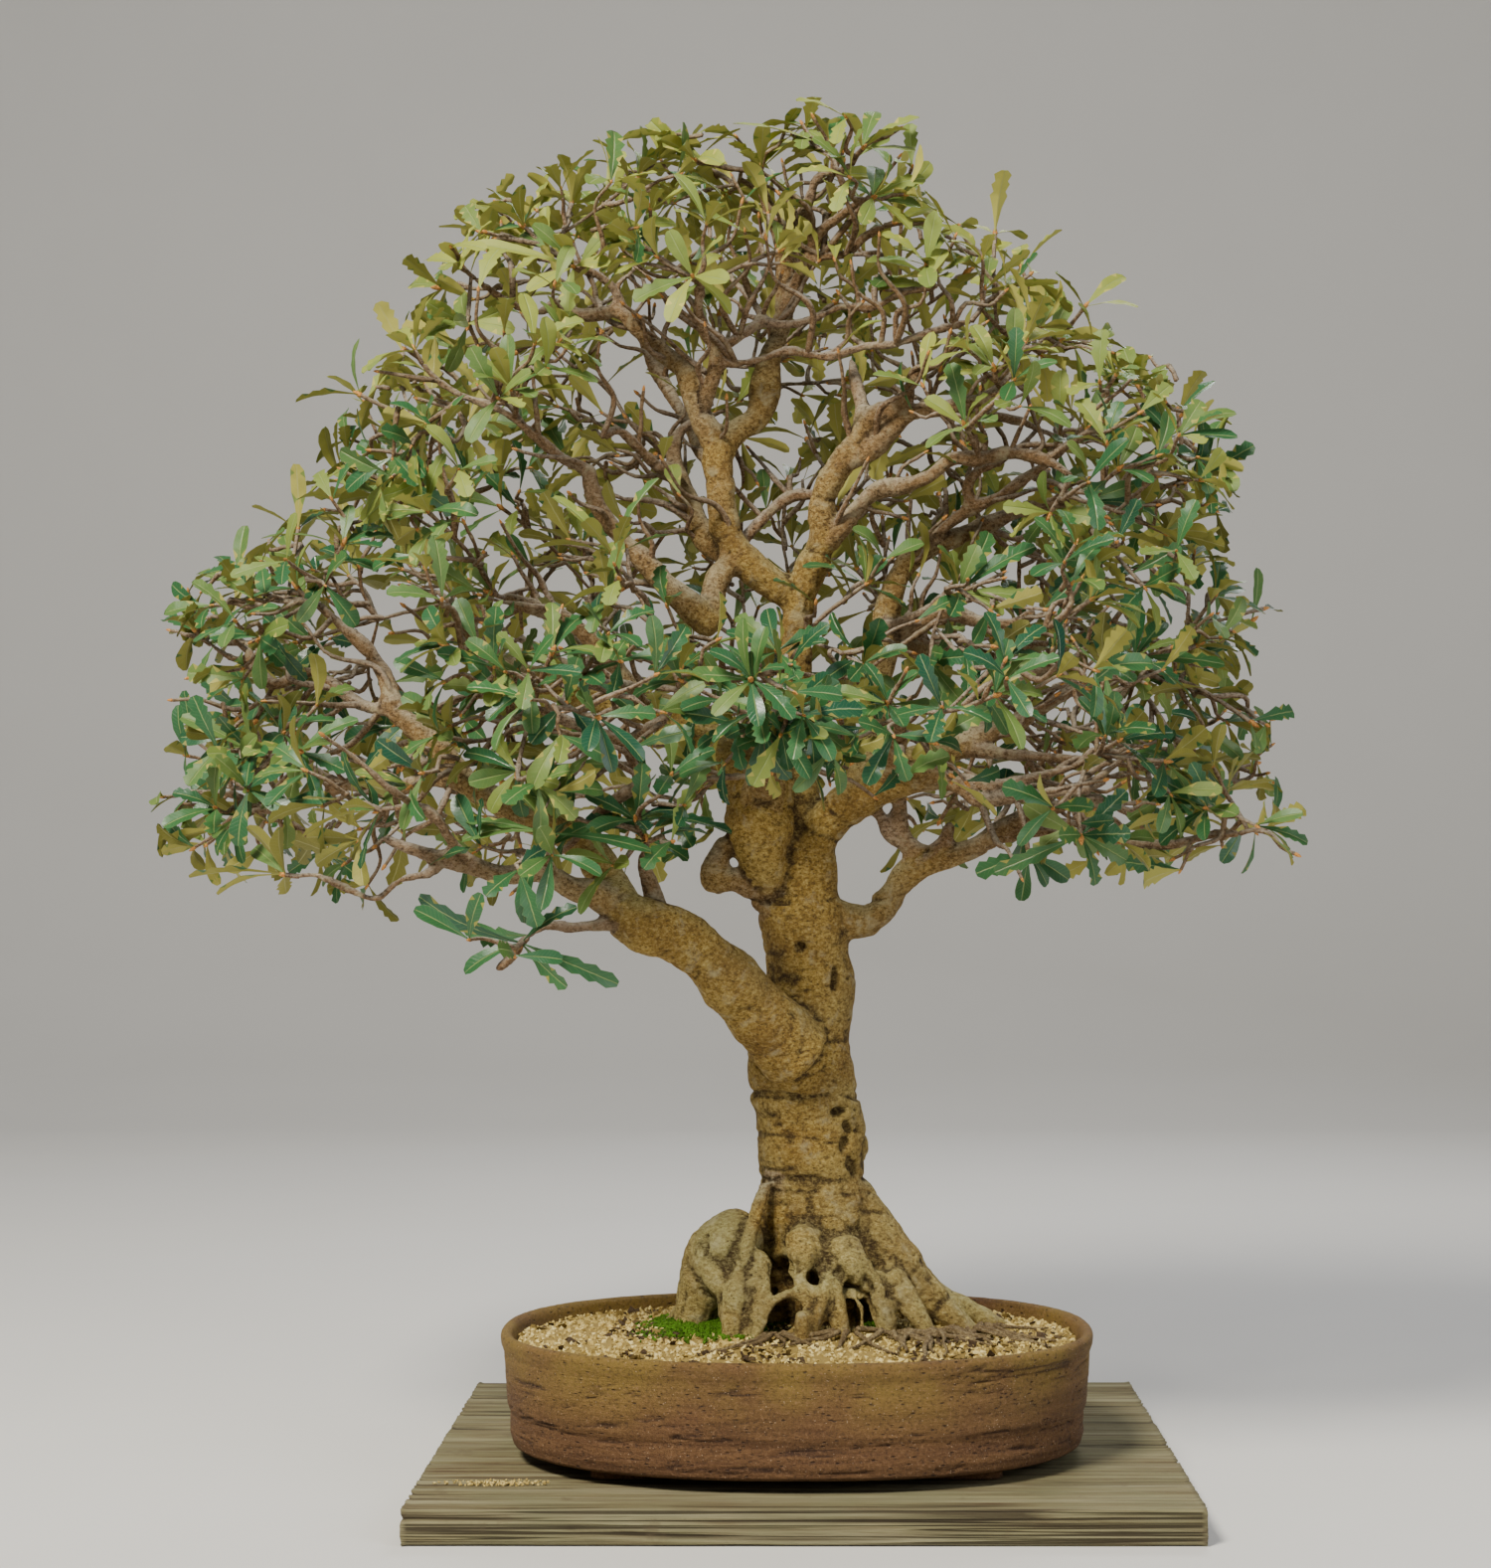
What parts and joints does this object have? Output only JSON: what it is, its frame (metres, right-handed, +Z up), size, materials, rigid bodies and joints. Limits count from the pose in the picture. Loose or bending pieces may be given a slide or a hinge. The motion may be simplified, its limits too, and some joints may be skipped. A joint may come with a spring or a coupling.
{
  "type": "bonsai tree",
  "caption": "Coast banksia bonsai with a thick ringed trunk, spreading limbs and sprays of long blunt leaves, in an oval unglazed pot on a plank board.",
  "frame": {"origin": "centre of the board's underside, on the face that rests on a table", "axes": "+Z up, +X to the right of someone who looks at the front of the tree, +Y away from that person"},
  "size_m": [0.8228, 0.5274, 0.9954],
  "materials": {
    "bark": "rough grey-brown bark with orange-brown folds, wrinkled across the trunk",
    "leaves": "leathery leaf, dark glossy green above, matt olive yellow below, on thin grey-brown twigs",
    "stoneware": "unglazed brown stoneware with torn level drag lines and pale specks",
    "gravel": "loose pale yellow-grey grit of 2 to 4 mm with dark bits of bark",
    "moss": "soft matt green moss",
    "mesh_plastic": "matt black moulded mesh",
    "board_timber": "weathered grey-brown planks with long grain cracks"
  },
  "bodies": {
    "root": {"board_back_plank": "board_timber", "board_front_plank": "board_timber", "board_middle_plank": "board_timber", "drain_screen_left": "mesh_plastic", "drain_screen_right": "mesh_plastic", "moss_pad_left": "moss", "moss_pad_right": "moss", "pot": "stoneware", "soil": "gravel", "spray_01": "leaves", "spray_02": "leaves", "spray_03": "leaves", "spray_04": "leaves", "spray_05": "leaves", "spray_06": "leaves", "spray_07": "leaves", "spray_08": "leaves", "spray_09": "leaves", "spray_10": "leaves", "spray_11": "leaves", "spray_12": "leaves", "spray_13": "leaves", "spray_14": "leaves", "spray_15": "leaves", "spray_16": "leaves", "spray_17": "leaves", "spray_18": "leaves", "spray_19": "leaves", "spray_20": "leaves", "spray_21": "leaves", "spray_22": "leaves", "spray_23": "leaves", "spray_24": "leaves", "spray_25": "leaves", "spray_26": "leaves", "spray_27": "leaves", "spray_28": "leaves", "spray_29": "leaves", "spray_30": "leaves", "spray_31": "leaves", "spray_32": "leaves", "spray_33": "leaves", "tree_wood": "bark"}
  },
  "joints": []
}
